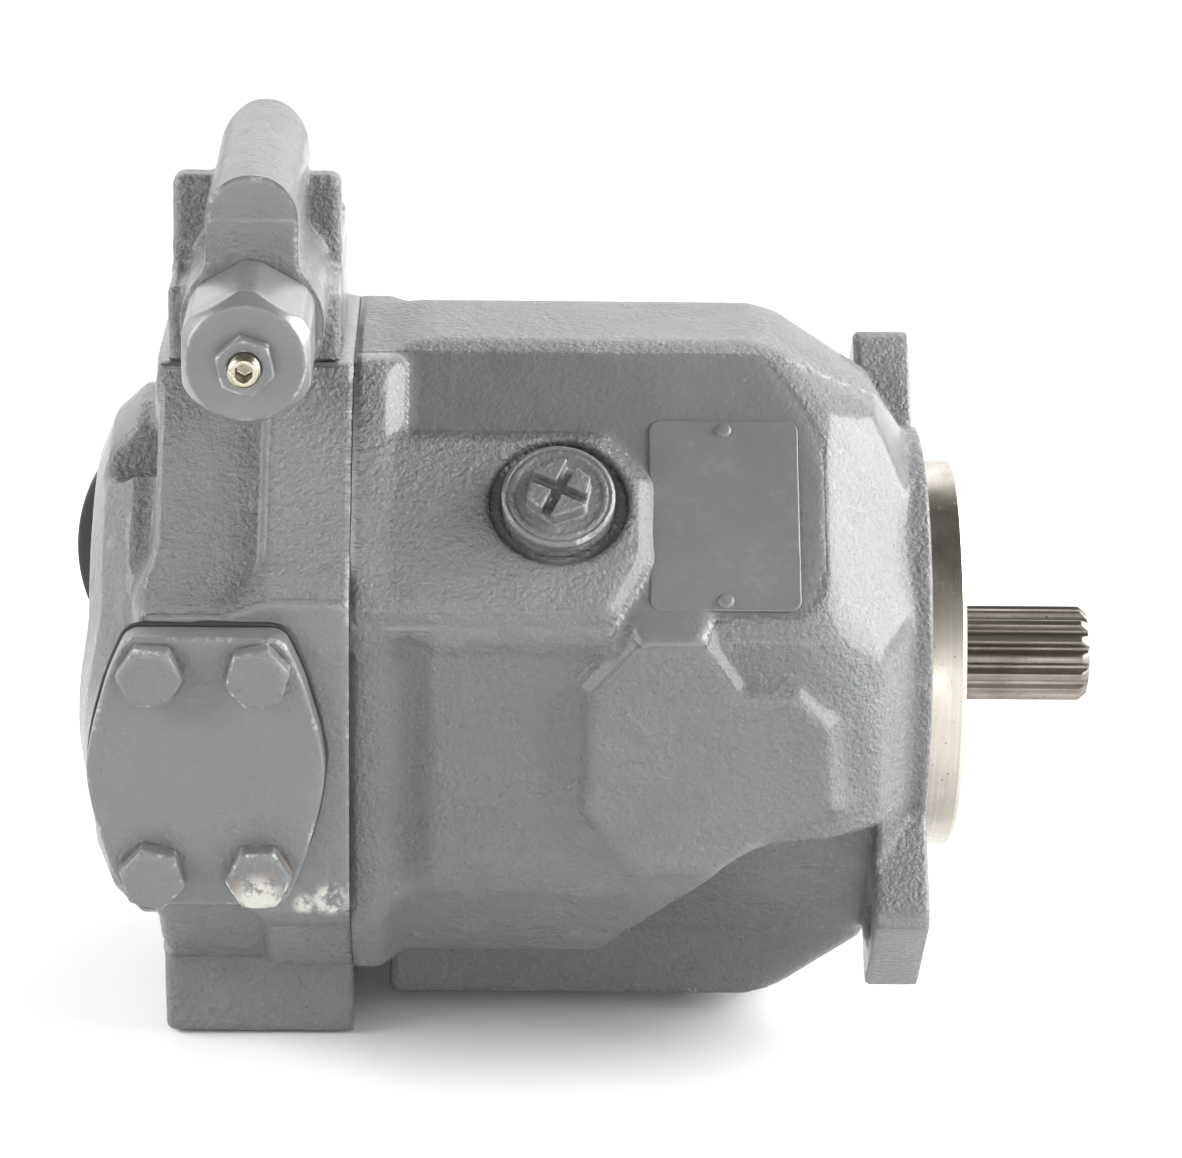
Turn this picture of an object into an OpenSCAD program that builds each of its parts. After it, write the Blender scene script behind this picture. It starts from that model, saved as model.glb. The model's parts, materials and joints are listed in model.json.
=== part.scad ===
// Axial piston pump with variable stroke, two-bolt flange and splined shaft.
// X runs out along the shaft from the flange face, +Z points to the controller,
// -Y points to the side with the covered pressure port. All sizes are in mm.

/* [Housing] */
// Distance from the flange face back to the joint with the port plate
case_len = 147; // [140:0.5:155]
// Height of the case's top flat above the shaft axis
case_top = 90.5; // [86:0.5:94]
// Depth of the case's bottom below the shaft axis
case_bottom = 87; // [84:0.5:91]
// Distance from the axis to each side face
case_side = 80; // [77:0.5:82]
// Distance from the axis to the sloping faces
case_slope = 81; // [79:0.5:83]
// Radius of the inner chamber round the cylinder barrel
chamber_r = 50; // [49:0.5:51]

/* [Mounting flange] */
// Radius of the pilot
pilot_r = 50.8; // [50.7:0.05:50.85]
// Height of the pilot
pilot_h = 9.5; // [9:0.1:9.7]
// Distance between the two flange holes
flange_span = 146; // [145:0.5:147]
// Radius of each flange hole
flange_hole_r = 7.15; // [7:0.05:7.5]
// Thickness of the flange
flange_t = 15; // [13:0.5:16]

/* [Shaft] */
// Outside radius of the splined end
spline_r = 12.55; // [12.4:0.05:12.7]
// Number of spline teeth
spline_teeth = 15; // [13:1:17]
// How far the shaft stands out from the flange face
shaft_out = 45.9; // [44:0.1:48]

/* [Rotating group] */
// Radius of the circle the pistons stand on
piston_pitch_r = 33.5; // [33:0.1:34]
// Radius of each piston
piston_r = 8.5; // [8.3:0.05:8.6]
// Running gap between each piston and its bore
piston_gap = 0.03; // [0.01:0.01:0.1]
// Outside radius of the cylinder barrel
barrel_r = 47; // [46:0.5:47.5]
// Distance from the flange face back to the swash plate's tilt axis
tilt_back = 57; // [56.5:0.1:57.5]
// Distance from the ball centres to the running face
slipper_h = 9; // [8.8:0.1:9.2]
// Height of the control and bias pistons above and below the axis
lever_z = 62; // [61:0.5:62.5]
// Radius of the control and bias pistons
lever_piston_r = 9; // [8.5:0.1:9]

/* [Port plate] */
// Distance from the flange face back to the port centres
port_back = 182; // [180:0.5:184]
// Distance from the axis to each port face
port_face = 84; // [83:0.5:86]
// Radius of the pressure port
pressure_r = 12.7; // [12:0.1:13]
// Radius of the suction port
suction_r = 19; // [18:0.5:20]

/* [Controller] */
// Height of the controller's mounting face above the axis
seat_z = 88; // [87:0.5:89]
// Distance from the flange face back to the controller's centre
control_back = 171.3; // [170:0.1:172]
// Height of the spool axis
spool_z = 104.5; // [104:0.1:105]
// Across-flats size of the spring cap
cap_flats = 31; // [30:0.5:33]

/* [Hidden] */
$fn = 48;
eps = 0.01;
film = 0.04;
plate_slope = 87;
strip_t = 9;
tilt_x = -tilt_back;
port_x = -port_back;
control_x = -control_back;
joint_x = -case_len;
face_step = 22;
rear_block_x = -196;
rear_x = -214;
valve_t = 4;
case_foot = 28;
plate_foot = 45.5;
plate_bottom = 91;
bolt_spots = [[-30, 64], [30, 64], [-46, -57], [46, -57]];
ctrl_bolt_x = 15.2;
bolt_room_r = 10;
barrel_rear = joint_x + valve_t + film;
barrel_front = -78;
piston_count = 9;
piston_step = 360 / piston_count;
swash_t = 9;
swash_r = 49;
cradle_r = 38;
cradle_in = 33.5;
cradle_out = 46.5;
shaft_mid_r = 13;
bearing_x = -9.5;
bearing_w = 15;
bearing_r = 31;
roller_r = 3.5;
roller_len = 11;
roller_lean = 12;
front_roller_ring = 23.5;
rear_roller_ring = 17.4;
rear_bearing_r = 23.5;
rear_bearing_w = 13;
drain_x = -95.5;
drain_face = 85;
drain_spot_r = 17.6;
drain_bore_r = 10.5;
plug_r = 14.2;
plate_mid = [-53.9, -1.8];
plate_size = [37.4, 53.4];
bolt_dx = 13.1;
bolt_dz = 26.2;
cover_t = 9.5;
gasket_t = 1;
cap_near = 60;
cap_out = 94;
steel = [0.62, 0.6, 0.56];
paint = [0.42, 0.43, 0.44];
bronze = [0.7, 0.52, 0.28];
black = [0.06, 0.06, 0.06];

// Extrudes a Y-Z outline along X.
module along(x0, x1) translate([x0, 0, 0]) rotate([90, 0, 90]) linear_extrude(x1 - x0) children();
// Round bar along X, with an optional second radius.
module bar(x0, x1, r, r2 = -1)
    translate([x0, 0, 0]) rotate([0, 90, 0]) cylinder(r1 = r, r2 = r2 < 0 ? r : r2, h = x1 - x0);
// Places children, drawn along +Z, so that they point to -Y.
module near(x, y, z) translate([x, -y, z]) rotate([90, 0, 0]) children();
// Places children, drawn along +Z, so that they point to +Y.
module far(x, y, z) translate([x, y, z]) rotate([-90, 0, 0]) children();
// Turns near-side features onto the sloping face above them.
module on_slope(side = 0) rotate([-45 + 180 * side, 0, 0]) children();
module both_sides() for (s = [-1, 1]) scale([1, s, 1]) children();
module round_box(size, r, h) linear_extrude(h) union() {
    square([size.x - 2 * r, size.y], center = true);
    square([size.x, size.y - 2 * r], center = true);
    for (sx = [-1, 1], sy = [-1, 1]) translate([sx * (size.x / 2 - r), sy * (size.y / 2 - r)]) circle(r);
}
module hexagon(flats, h) cylinder(r = flats / sqrt(3), h = h, $fn = 6);
module screw_head_bolt(head_r, head_h, r, len) {
    difference() {
        cylinder(r = head_r, h = head_h);
        translate([0, 0, head_h / 2]) hexagon(head_r, head_h);
    }
    translate([0, 0, -len]) cylinder(r = r, h = len);
}
// Round wire wound along +Z; each turn rises by pitch.
module coil(r, wire, pitch, h) {
    turns = (h - wire) / pitch;
    translate([0, 0, wire / 2])
        linear_extrude(h - wire, twist = -360 * turns, slices = ceil(10 * turns), segments = 10, $fn = 10)
            polygon([for (a = [0:36:359]) let (q = wire / 2 * sin(a) * 360 / pitch, p = r + wire / 2 * cos(a))
                [p * cos(q), p * sin(q)]]);
}

// ---- housing -------------------------------------------------------------
function case_outline(top, side, slope, drop, foot, bottom) = let (k = slope * sqrt(2)) [
    [-(k - top), top], [-side, k - side], [-side, -(k - side)], [-drop, -(k - drop)], [-foot, -(k - drop)],
    [-foot, -bottom], [foot, -bottom], [foot, -(k - drop)], [drop, -(k - drop)], [side, -(k - side)],
    [side, k - side], [k - top, top]];
module neck() rotate([0, 90, 0]) rotate_extrude()
    polygon([[0, joint_x], [118, joint_x], [118, -62], [93, -42], [84, -28], [75, -14], [62, -6], [0, -6]]);
module flange_outline() {
    end_r = 6;
    lug_half = 21.4;
    lug_long = 87.3;
    wide_r = 60;
    cx = lug_long - end_r;
    cy = lug_half - end_r;
    turn = atan2(cy, cx) + acos((wide_r - end_r) / norm([cx, cy]));
    circle(wide_r, $fn = 96);
    for (sx = [-1, 1], sy = [-1, 1]) scale([sx, sy]) {
        translate([cx, cy]) circle(end_r);
        polygon([[0, 0], wide_r * [cos(turn), sin(turn)], [cx, cy] + end_r * [cos(turn), sin(turn)],
            [cx + end_r, cy], [cx + end_r, 0]]);
    }
}
module side_pad() near(0, case_side - 1, 0) linear_extrude(5)
    polygon([[-89, -14], [-89, 18.8], [-74.5, 32], [-59.4, 32], [-46, 18.5], [-34.4, 18.5], [-25, 10],
        [-25, -17], [-45, -20], [-60, -29.4], [-74, -29.4]]);
module drain_pad() near(0, case_slope - 1, 0) linear_extrude(drain_face - case_slope + 1)
    polygon([[joint_x + 5, -30], [-84, -30], [-76, -14], [-76, 6], [-86, 17], [joint_x + 5, 17]]);
// Cast hollow beside the foot of the case, seen under the side pads.
module undercut() difference() {
    near(0, case_foot, 0) linear_extrude(60)
        polygon([[-84, -66.5], [-64, -42], [-47, -24], [-14, -22], [-14, -95], [-84, -95]]);
    bar(-90, -10, 64);
}
// Wider chamber at the sides, between the two lever pistons.
module chamber_outline() {
    side = 68;
    low = 15;
    polygon([[-side, -low], [side, -low], [side, 28], [50, 46], [-50, 46], [-side, 28]]);
}
module cradle_pockets(r) both_sides() translate([tilt_x, cradle_in, 0]) rotate([-90, 0, 0])
    cylinder(r = r, h = cradle_out - cradle_in);
module lever_slots() for (s = [-1, 1]) scale([1, 1, s]) translate([-78, -13, 40])
    cube([s > 0 ? 45 : 59, 26, 33]);
module housing() color(paint) difference() {
    union() {
        intersection() {
            neck();
            union() {
                along(joint_x, -4)
                    polygon(case_outline(case_top, case_side, case_slope, 48, case_foot, case_bottom));
                along(joint_x, joint_x + strip_t)
                    polygon(case_outline(seat_z, case_side + 0.5, plate_slope, 54, case_foot, case_bottom));
                both_sides() side_pad();
                for (s = [0, 1]) on_slope(s) drain_pad();
            }
        }
        along(-flange_t, 0) rotate(45) flange_outline();
        bar(0, pilot_h - 1, pilot_r);
        bar(pilot_h - 1, pilot_h, pilot_r, pilot_r - 1);
    }
    both_sides() undercut();
    bar(joint_x - 1, -78, chamber_r);
    along(joint_x + strip_t, -34) chamber_outline();
    bar(-78, -33, 56);
    difference() {
        bar(-34, -20, 54);
        bar(-35, -19, bearing_r + 4);
    }
    bar(-34, -26, bearing_r + 5);
    lever_slots();
    cradle_pockets(cradle_r);
    bar(-27, bearing_x, bearing_r);
    bar(bearing_x - 1, -1, 23.5);
    bar(-3, pilot_h + 1, 26);
    bar(-4.6, -3, 25.2);
    for (s = [-1, 1]) translate([joint_x - 1, 0, s * lever_z]) rotate([0, 90, 0])
        cylinder(r = lever_piston_r + piston_gap, h = 72);
    for (s = [-1, 1]) rotate([s * 90 + 45, 0, 0]) translate([0, 0, flange_span / 2]) {
        bar(-flange_t - 1, 1, flange_hole_r);
        bar(-32, -14, bolt_room_r);
    }
    for (s = [0, 1]) on_slope(s) near(drain_x, drain_face - 1, 0) cylinder(r = drain_spot_r, h = 5);
    for (s = [0, 1]) on_slope(s) near(drain_x, 40, 0) cylinder(r = drain_bore_r, h = 60);
    for (spot = bolt_spots) translate([joint_x - 1, spot.x, spot.y]) rotate([0, 90, 0])
        cylinder(r = 5.1, h = 26);
    translate([joint_x - 1, -60, -100]) cube([strip_t + 1, 120, 31]);
    bar(joint_x - 1, joint_x + 1.6, 53.4);
    on_slope() for (s = [-1, 1]) near(plate_mid.x, case_slope - 4, plate_mid.y + s * 24)
        cylinder(r = 1.25, h = 8);
}
module housing_seal() color(black) translate([joint_x + 0.8, 0, 0]) rotate([0, 90, 0])
    rotate_extrude() translate([52.6, 0]) circle(0.79);
module housing_bolts() color(steel) for (spot = bolt_spots)
    translate([joint_x - 30, spot.x, spot.y]) rotate([0, -90, 0]) screw_head_bolt(8, 10, 5.05, 52);
module nameplate() color([0.4, 0.4, 0.41]) on_slope() difference() {
    near(plate_mid.x, case_slope, plate_mid.y) round_box(plate_size, 3, 0.6);
    for (s = [-1, 1]) near(plate_mid.x, case_slope - 1, plate_mid.y + s * 24) cylinder(r = 1.25, h = 3);
}
module nameplate_pins() color(steel) on_slope() for (s = [-1, 1])
    near(plate_mid.x, case_slope + 0.6, plate_mid.y + s * 24) {
        rotate_extrude() polygon([[0, 0], [2, 0], [1.4, 0.7], [0, 0.9]]);
        translate([0, 0, -4]) cylinder(r = 1.23, h = 4.1);
    }
module drain_plugs() color(paint) for (s = [0, 1]) on_slope(s) near(drain_x, drain_face - 1, 0) {
    translate([0, 0, 1]) cylinder(r = plug_r, h = 2.4);
    translate([0, 0, 3.4]) cylinder(r1 = plug_r, r2 = plug_r - 0.8, h = 0.8);
    difference() {
        translate([0, 0, 4]) rotate(20) hexagon(14.6, 4.4);
        for (a = [65, 155]) rotate([0, 0, a]) translate([-9, -1.1, 5.4]) cube([18, 2.2, 4]);
    }
    translate([0, 0, -12]) cylinder(r = drain_bore_r - 0.02, h = 13);
}
module drain_plug_seals() color(bronze) for (s = [0, 1]) on_slope(s) near(drain_x, drain_face - 1, 0)
    difference() {
        cylinder(r = plug_r - 0.6, h = 1);
        translate([0, 0, -1]) cylinder(r = drain_bore_r, h = 3);
    }

// ---- port plate ----------------------------------------------------------
module port_boss(r) translate([port_x, 0, 0]) difference() {
    union() {
        rotate([-90, 0, 0]) cylinder(r = r, h = port_face);
        translate([0, 0, -39]) cube([34, port_face, 78]);
        translate([-17, 0, -39]) cube([20, port_face, 78]);
    }
}
module port_plate() color(paint) difference() {
    union() {
        along(joint_x - face_step, joint_x)
            polygon(case_outline(seat_z, case_side + 0.5, plate_slope, 54, plate_foot, plate_bottom));
        along(rear_block_x, joint_x - face_step + 1)
            polygon(case_outline(seat_z, 74, plate_slope - 3.5, 48, plate_foot, plate_bottom));
        translate([rear_block_x - 0.5, -35, 60]) cube([46, 70, seat_z - 60]);
        rotate([0, 90, 0]) rotate_extrude() polygon([[0, rear_x], [54, rear_x],
            [64, rear_x + 4], [70, rear_x + 11], [70, rear_block_x + 3], [0, rear_block_x + 3]]);
        port_boss(29.5);
        scale([1, -1, 1]) port_boss(29.5);
    }
    bar(-166, joint_x + 1, rear_bearing_r);
    bar(-176, -165, 15);
    for (s = [-1, 1]) translate([0, s * piston_pitch_r, 0]) bar(port_x - 4, joint_x + 1, 7.5);
    near(port_x, 25, 0) cylinder(r = pressure_r, h = 80);
    far(port_x, 25, 0) cylinder(r = suction_r, h = 80);
    for (sx = [-1, 1], sz = [-1, 1]) {
        near(port_x + sx * bolt_dx, port_face - 17, sz * bolt_dz) cylinder(r = 5, h = 20);
        far(port_x + sx * 17.85, port_face - 17, sz * 34.95) cylinder(r = 4, h = 20);
    }
    for (spot = bolt_spots) translate([-220, spot.x, spot.y]) rotate([0, 90, 0]) {
        cylinder(r = 5.1, h = 80);
        cylinder(r = 8.6, h = 220 + joint_x - 30);
    }
    for (sx = [-1, 1], y = [-24, 24]) translate([control_x + sx * ctrl_bolt_x, y, seat_z - 14]) cylinder(r = 2.5, h = 20);
    for (dx = [-7, 7]) translate([control_x + dx, 0, lever_z]) cylinder(r = 2, h = 40);
    for (dx = [-7, 7]) translate([control_x + dx, 0, seat_z - 1.4]) cylinder(r = 4, h = 3);
    translate([control_x, 0, lever_z]) rotate([0, 90, 0]) cylinder(r = 2, h = 60);
}
module cover_outline(grow) {
    end = 19 + grow / 2;
    flat = 22.8 + grow;
    wide = 29.8 + grow;
    high = 35 + grow;
    polygon([[-end, -high], [end, -high], [flat, -high + 6], [wide, -3.5], [wide, 3.5], [flat, high - 6],
        [end, high], [-end, high], [-flat, high - 6], [-wide, 3.5], [-wide, -3.5], [-flat, -high + 6]]);
}
module pressure_cover() color(paint) near(port_x, port_face + gasket_t, 0) difference() {
    linear_extrude(cover_t) cover_outline(0);
    for (sx = [-1, 1], sz = [-1, 1]) translate([sx * bolt_dx, sz * bolt_dz, -1]) cylinder(r = 5.3, h = 20);
}
module pressure_gasket() color(black) near(port_x, port_face, 0) difference() {
    linear_extrude(gasket_t) cover_outline(1.2);
    translate([0, 0, -1]) cylinder(r = 17, h = 3);
    for (sx = [-1, 1], sz = [-1, 1]) translate([sx * bolt_dx, sz * bolt_dz, -1]) cylinder(r = 5.3, h = 20);
}
module pressure_cover_bolts() color(paint) for (sx = [-1, 1], sz = [-1, 1])
    near(port_x + sx * bolt_dx, port_face + gasket_t + cover_t, sz * bolt_dz) {
        intersection() {
            rotate(sx * 8 + sz * 5) hexagon(15.2, 6.4);
            rotate_extrude() polygon([[0, 0], [10, 0], [10, 4.6], [7.6, 6.4], [0, 6.4]]);
        }
        translate([0, 0, -26]) cylinder(r = 4.97, h = 26.1);
    }
module suction_cap() color(black) far(port_x, port_face, 0) {
    cylinder(r = 46, h = 3);
    translate([0, 0, 3]) cylinder(r1 = 46, r2 = 38, h = 5);
    for (sx = [-1, 1], sz = [-1, 1]) translate([sx * 17.85, sz * 34.95, 0]) {
        cylinder(r = 14, h = 4);
        translate([0, 0, -10]) cylinder(r = 3.97, h = 11);
    }
    translate([0, 0, -8]) cylinder(r = suction_r - 0.02, h = 9);
}

// ---- controller ----------------------------------------------------------
module controller_body() color(paint) difference() {
    union() {
        translate([control_x - 22.5, -34, seat_z]) cube([43, 64, 19]);
        translate([control_x - 22.5, -12, seat_z]) cube([43, 10, 42.5]);
        translate([control_x - 22.5, -12, seat_z]) cube([43, 44, 26]);
        far(control_x, -cap_near, 130.6) cylinder(r = 11.7, h = 87);
        translate([control_x - 11.7, -cap_near, spool_z]) cube([23.4, 87, 26.1]);
        difference() {
            far(control_x, -cap_near, spool_z) cylinder(r = 17.8, h = 92);
            translate([control_x - 20, -cap_near + 24, seat_z - 10]) cube([40, 90, 10]);
        }
    }
    far(control_x, -cap_near - 1, spool_z) cylinder(r = 5, h = 120);
    far(control_x, -cap_near - 1, spool_z) cylinder(r = 12, h = 15);
    far(control_x, 20, spool_z) cylinder(r = 7, h = 40);
    for (sx = [-1, 1], y = [-24, 24]) translate([control_x + sx * ctrl_bolt_x, y, seat_z - 1]) {
        cylinder(r = 2.6, h = 14);
        translate([0, 0, 12]) cylinder(r = 4.4, h = y < 0 ? 8.1 : 32);
    }
    for (dx = [-7, 7]) translate([control_x + dx, 0, seat_z - 1]) cylinder(r = 2, h = 14);
}
module controller_seals() color(black) for (dx = [-7, 7]) translate([control_x + dx, 0, seat_z - 0.7])
    rotate_extrude() translate([3.1, 0]) circle(0.68);
module controller_bolts() color(steel) for (sx = [-1, 1], y = [-24, 24])
    translate([control_x + sx * ctrl_bolt_x, y, seat_z + 11]) screw_head_bolt(4.25, 5, 2.47, 24);
module spring_cap() color(paint) near(control_x, cap_near, spool_z) difference() {
    union() {
        intersection() {
            rotate(30) hexagon(cap_flats, cap_out - cap_near);
            rotate_extrude() polygon([[0, 0], [16.8, 0], [16.8, 29.5], [14.6, 34], [0, 34]]);
        }
        translate([0, 0, -12]) cylinder(r = 11.97, h = 12.1);
    }
    translate([0, 0, -13]) cylinder(r = 9, h = 43);
    cylinder(r = 4.05, h = 50);
}
module lock_nut() color(paint) near(control_x, cap_out, spool_z) difference() {
    intersection() {
        rotate(12) hexagon(13, 5);
        rotate_extrude() polygon([[0, 0], [7, 0], [7.6, 0.6], [7.6, 4.3], [6.6, 5], [0, 5]]);
    }
    translate([0, 0, -1]) cylinder(r = 4.05, h = 9);
}
module set_screw() color(steel) near(control_x, 0, spool_z) difference() {
    union() {
        translate([0, 0, 84]) cylinder(r = 4, h = 18.7);
        translate([0, 0, 102.7]) cylinder(r1 = 4, r2 = 3.2, h = 0.8);
        translate([0, 0, 82]) cylinder(r = 7, h = 2.5);
    }
    translate([0, 0, 97.5]) hexagon(4, 8);
}
module control_spool() color(steel) near(control_x, 0, spool_z) {
    translate([0, 0, -16]) cylinder(r = 3, h = 62);
    for (z = [-16, -4, 14, 30]) translate([0, 0, z]) cylinder(r = 4.97, h = z < 30 ? 8 : 14);
}
module spring_seat() color(steel) near(control_x, 0, spool_z) {
    translate([0, 0, 46]) cylinder(r = 7.5, h = 3);
    translate([0, 0, 49]) cylinder(r = 4, h = 3);
}
module control_spring() color(steel) near(control_x, 49, spool_z) coil(6, 2, 4.4, 33);
module controller_end_plug() color(paint) far(control_x, 32, spool_z) {
    hexagon(17, 6);
    translate([0, 0, -12]) cylinder(r = 6.97, h = 12.1);
}

// ---- shaft and bearings --------------------------------------------------
module spline_teeth_2d() {
    circle(10.9);
    for (i = [0:spline_teeth - 1]) rotate(i * 360 / spline_teeth)
        polygon([[0, -2.3], [10.7, -1.9], [spline_r, -1.15], [spline_r, 1.15], [10.7, 1.9], [0, 2.3]]);
}
module drive_shaft() color(steel) {
    intersection() {
        along(9.5, shaft_out) spline_teeth_2d();
        rotate([0, 90, 0]) rotate_extrude() polygon([[0, 9.8], [11, 9.8], [12.6, 12.2], [12.6, shaft_out - 2.4],
            [10.6, shaft_out], [0, shaft_out]]);
    }
    bar(3, 10, 10.9);
    bar(-8, 4, 14);
    bar(bearing_x - bearing_w, -8, 15);
    bar(joint_x + 1, bearing_x - bearing_w, shaft_mid_r);
    bar(-162, joint_x + 1, 11);
}
// Ring whose inner face leans with the rollers.
module cup(x, w, out_r, ring_r, lean) translate([x, 0, 0]) rotate([0, 90, 0]) rotate_extrude() {
    in_r = ring_r + roller_r / cos(lean) + 0.02;
    polygon([[in_r - w / 2 * tan(lean), 0], [out_r, 0], [out_r, w], [in_r + w / 2 * tan(lean), w]]);
}
module cone(x, w, bore_r, ring_r, lean) translate([x, 0, 0]) rotate([0, 90, 0]) rotate_extrude() {
    out_r = ring_r - roller_r / cos(lean) - 0.02;
    polygon([[bore_r, 0], [out_r - w / 2 * tan(lean), 0], [out_r + w / 2 * tan(lean), w], [bore_r, w]]);
}
module rollers(x, w, ring_r, lean, len, n) for (i = [0:n - 1]) rotate([i * 360 / n, 0, 0])
    translate([x + w / 2, 0, ring_r]) rotate([0, 90 - lean, 0]) translate([0, 0, -len / 2])
        cylinder(r = roller_r, h = len);
module front_bearing_cup() color(steel) cup(bearing_x - bearing_w, bearing_w, bearing_r, front_roller_ring,
    -roller_lean);
module front_bearing_cone() color(steel) cone(bearing_x - bearing_w, bearing_w, 15, front_roller_ring,
    -roller_lean);
module front_bearing_rollers() color(steel) rollers(bearing_x - bearing_w, bearing_w, front_roller_ring,
    -roller_lean, roller_len, 16);
module rear_bearing_cup() color(steel) cup(-166, rear_bearing_w, rear_bearing_r, rear_roller_ring, 8);
module rear_bearing_cone() color(steel) cone(-166, rear_bearing_w, 11, rear_roller_ring, 8);
module rear_bearing_rollers() color(steel) rollers(-166, rear_bearing_w, rear_roller_ring, 8, 10, 12);
module shaft_seal() color(black) translate([-8.4, 0, 0]) rotate([0, 90, 0]) rotate_extrude()
    polygon([[14.04, 3], [15.5, 0.8], [19, 0.8], [19, 3], [21, 3], [21, 0], [23.5, 0], [23.5, 3.8],
        [14.04, 3.8]]);
module seal_snap_ring() color(steel) translate([-4.5, 0, 0]) rotate([0, 90, 0]) difference() {
    linear_extrude(1.4) difference() {
        circle(25.1);
        circle(21.5);
    }
    translate([20, -4, -1]) cube([8, 8, 5]);
}

// ---- rotating group ------------------------------------------------------
module cylinder_barrel() color(steel) difference() {
    bar(barrel_rear, barrel_front, barrel_r);
    for (i = [0:piston_count - 1]) rotate([i * piston_step, 0, 0]) translate([0, 0, piston_pitch_r]) {
        bar(barrel_rear + 10, barrel_front + 1, piston_r + piston_gap);
        bar(barrel_rear - 1, barrel_rear + 11, 5);
    }
    bar(barrel_rear - 1, barrel_front + 1, shaft_mid_r + 0.02);
    bar(-118, barrel_front + 1, 19);
}
module barrel_spring() color(steel) translate([-116.4, 0, 0]) rotate([0, 90, 0]) coil(15.9, 2.6, 6.2, 36);
module spring_washers() color(steel) for (x = [-117.8, -80.3]) difference() {
    bar(x, x + 1.4, 18.8);
    bar(x - 1, x + 3, shaft_mid_r + 0.05);
}
module retaining_ball() color(steel) difference() {
    intersection() {
        translate([tilt_x, 0, 0]) sphere(r = 21);
        bar(-66, -50, 25);
    }
    bar(-70, -40, shaft_mid_r + 0.02);
}
module retainer_plate() color(steel) difference() {
    bar(tilt_x + 1.5, tilt_x + 4.3, 46);
    translate([tilt_x, 0, 0]) sphere(r = 21.06);
    for (i = [0:piston_count - 1]) rotate([i * piston_step, 0, 0]) translate([0, 0, piston_pitch_r])
        bar(tilt_x, tilt_x + 6, 10.6);
}
module swash_plate() color(steel) difference() {
    union() {
        bar(tilt_x + slipper_h, tilt_x + slipper_h + swash_t, swash_r);
        translate([tilt_x + slipper_h, -10, -70]) cube([6, 20, 140]);
        intersection() {
            both_sides() translate([tilt_x, cradle_in + 0.3, 0]) rotate([-90, 0, 0])
                cylinder(r = cradle_r - 2.05, h = cradle_out - cradle_in - 0.6);
            translate([tilt_x + slipper_h, -60, -60]) cube([60, 120, 120]);
        }
    }
    bar(-60, -15, 21.5);
}
module cradle_bearings() color(bronze) both_sides() translate([tilt_x, cradle_in + 0.5, 0])
    rotate([-90, 0, 0]) rotate([0, 0, -40]) rotate_extrude(angle = 80)
        translate([cradle_r - 2, 0]) square([2, cradle_out - cradle_in - 1]);
module valve_plate() color(bronze) difference() {
    bar(joint_x, joint_x + valve_t, 46);
    bar(joint_x - 1, joint_x + valve_t + 1, 20);
    for (s = [-1, 1]) translate([joint_x - 1, 0, 0]) rotate([0, 90, 0]) rotate([0, 0, s * 90 - 62])
        rotate_extrude(angle = 124) translate([piston_pitch_r - 4.5, 0]) square([9, valve_t + 2]);
}
module lever_piston(z, len) translate([tilt_x - film, 0, z]) {
    sphere(r = lever_piston_r);
    difference() {
        rotate([0, -90, 0]) cylinder(r = lever_piston_r, h = len);
        translate([-14, 0, 0]) rotate([0, -90, 0]) cylinder(r = 6.5, h = len);
    }
}
module control_piston() color(steel) lever_piston(lever_z, 60);
module bias_piston() color(steel) lever_piston(-lever_z, 64);
module bias_spring() color(steel) translate([joint_x + 0.1, 0, -lever_z]) rotate([0, 90, 0])
    coil(5, 2, 6.25, tilt_x - film - 14 - joint_x - 0.2);

// One piston: ball end towards the swash plate, hollow shell behind it.
module piston(i) rotate([i * piston_step, 0, 0]) translate([tilt_x, 0, piston_pitch_r]) color(steel)
    difference() {
        union() {
            sphere(r = 6);
            bar(-9, -4, 3.6);
            bar(-14, -9, piston_r, 3.6);
            bar(-60, -14, piston_r);
        }
        bar(-61, -18, 5.5);
        bar(-20, 7, 0.9);
    }
// One slipper: foot on the running face, crimped socket round the ball.
module slipper(i) rotate([i * piston_step, 0, 0]) translate([tilt_x, 0, piston_pitch_r]) color(bronze)
    difference() {
        union() {
            bar(-2.6, 5, 8.4);
            bar(4.8, slipper_h - film, 11);
        }
        sphere(r = 6.03);
        bar(0, 12, 0.9);
        bar(slipper_h - 0.8, slipper_h + 1, 6.5);
    }
module piston_1() piston(0);
module piston_2() piston(1);
module piston_3() piston(2);
module piston_4() piston(3);
module piston_5() piston(4);
module piston_6() piston(5);
module piston_7() piston(6);
module piston_8() piston(7);
module piston_9() piston(8);
module slipper_1() slipper(0);
module slipper_2() slipper(1);
module slipper_3() slipper(2);
module slipper_4() slipper(3);
module slipper_5() slipper(4);
module slipper_6() slipper(5);
module slipper_7() slipper(6);
module slipper_8() slipper(7);
module slipper_9() slipper(8);

housing();
port_plate();
housing_seal();
housing_bolts();
nameplate();
nameplate_pins();
drain_plugs();
drain_plug_seals();
pressure_cover();
pressure_gasket();
pressure_cover_bolts();
suction_cap();
controller_body();
controller_seals();
controller_bolts();
spring_cap();
lock_nut();
set_screw();
control_spool();
control_spring();
spring_seat();
controller_end_plug();
drive_shaft();
front_bearing_cup();
front_bearing_cone();
front_bearing_rollers();
rear_bearing_cup();
rear_bearing_cone();
rear_bearing_rollers();
shaft_seal();
seal_snap_ring();
cylinder_barrel();
barrel_spring();
spring_washers();
retaining_ball();
retainer_plate();
swash_plate();
cradle_bearings();
valve_plate();
control_piston();
bias_piston();
bias_spring();
piston_1();
piston_2();
piston_3();
piston_4();
piston_5();
piston_6();
piston_7();
piston_8();
piston_9();
slipper_1();
slipper_2();
slipper_3();
slipper_4();
slipper_5();
slipper_6();
slipper_7();
slipper_8();
slipper_9();
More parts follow.
